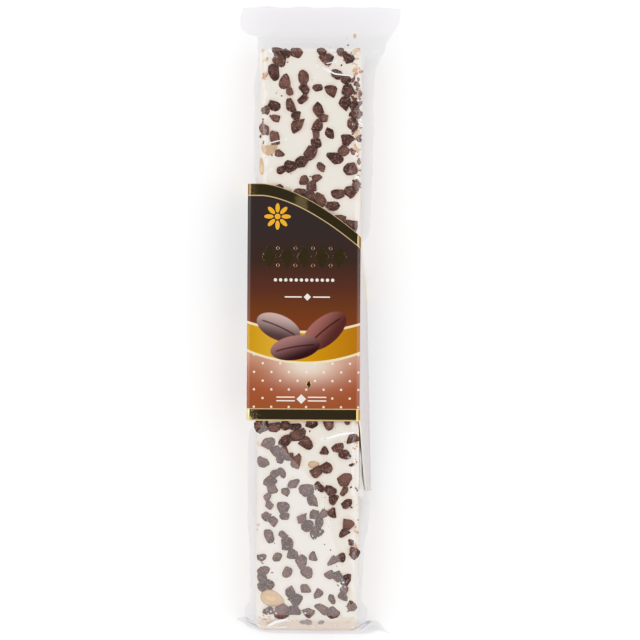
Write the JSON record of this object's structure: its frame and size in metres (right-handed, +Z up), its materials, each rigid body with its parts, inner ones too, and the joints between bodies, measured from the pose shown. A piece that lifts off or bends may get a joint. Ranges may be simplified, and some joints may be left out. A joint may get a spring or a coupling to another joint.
{
  "type": "nougat bar in clear bag",
  "caption": "Long nougat bar with chocolate chips, shut in a clear film bag with flat end seals, with a printed card sleeve folded round its middle.",
  "frame": {"origin": "middle of the whole pack's box, at the level the pack rests on", "axes": "+Y along the pack towards its upper end seal, +X across it to the right of the label, +Z up out of the label side"},
  "size_m": [0.0544, 0.2122, 0.0189],
  "materials": {
    "filled_bag": "cream nougat and dark chips under clear glossy film",
    "printed_card": "glossy printed card, dark plum to rust brown with gold foil borders",
    "film": "clear wrinkled film",
    "nougat": "smooth cream-white nougat",
    "chocolate": "dark chocolate chips with a soft shine",
    "almond": "blanched and toasted almond"
  },
  "bodies": {
    "root": {"clear_bag": "filled_bag", "label_sleeve": "printed_card"}
  },
  "joints": []
}
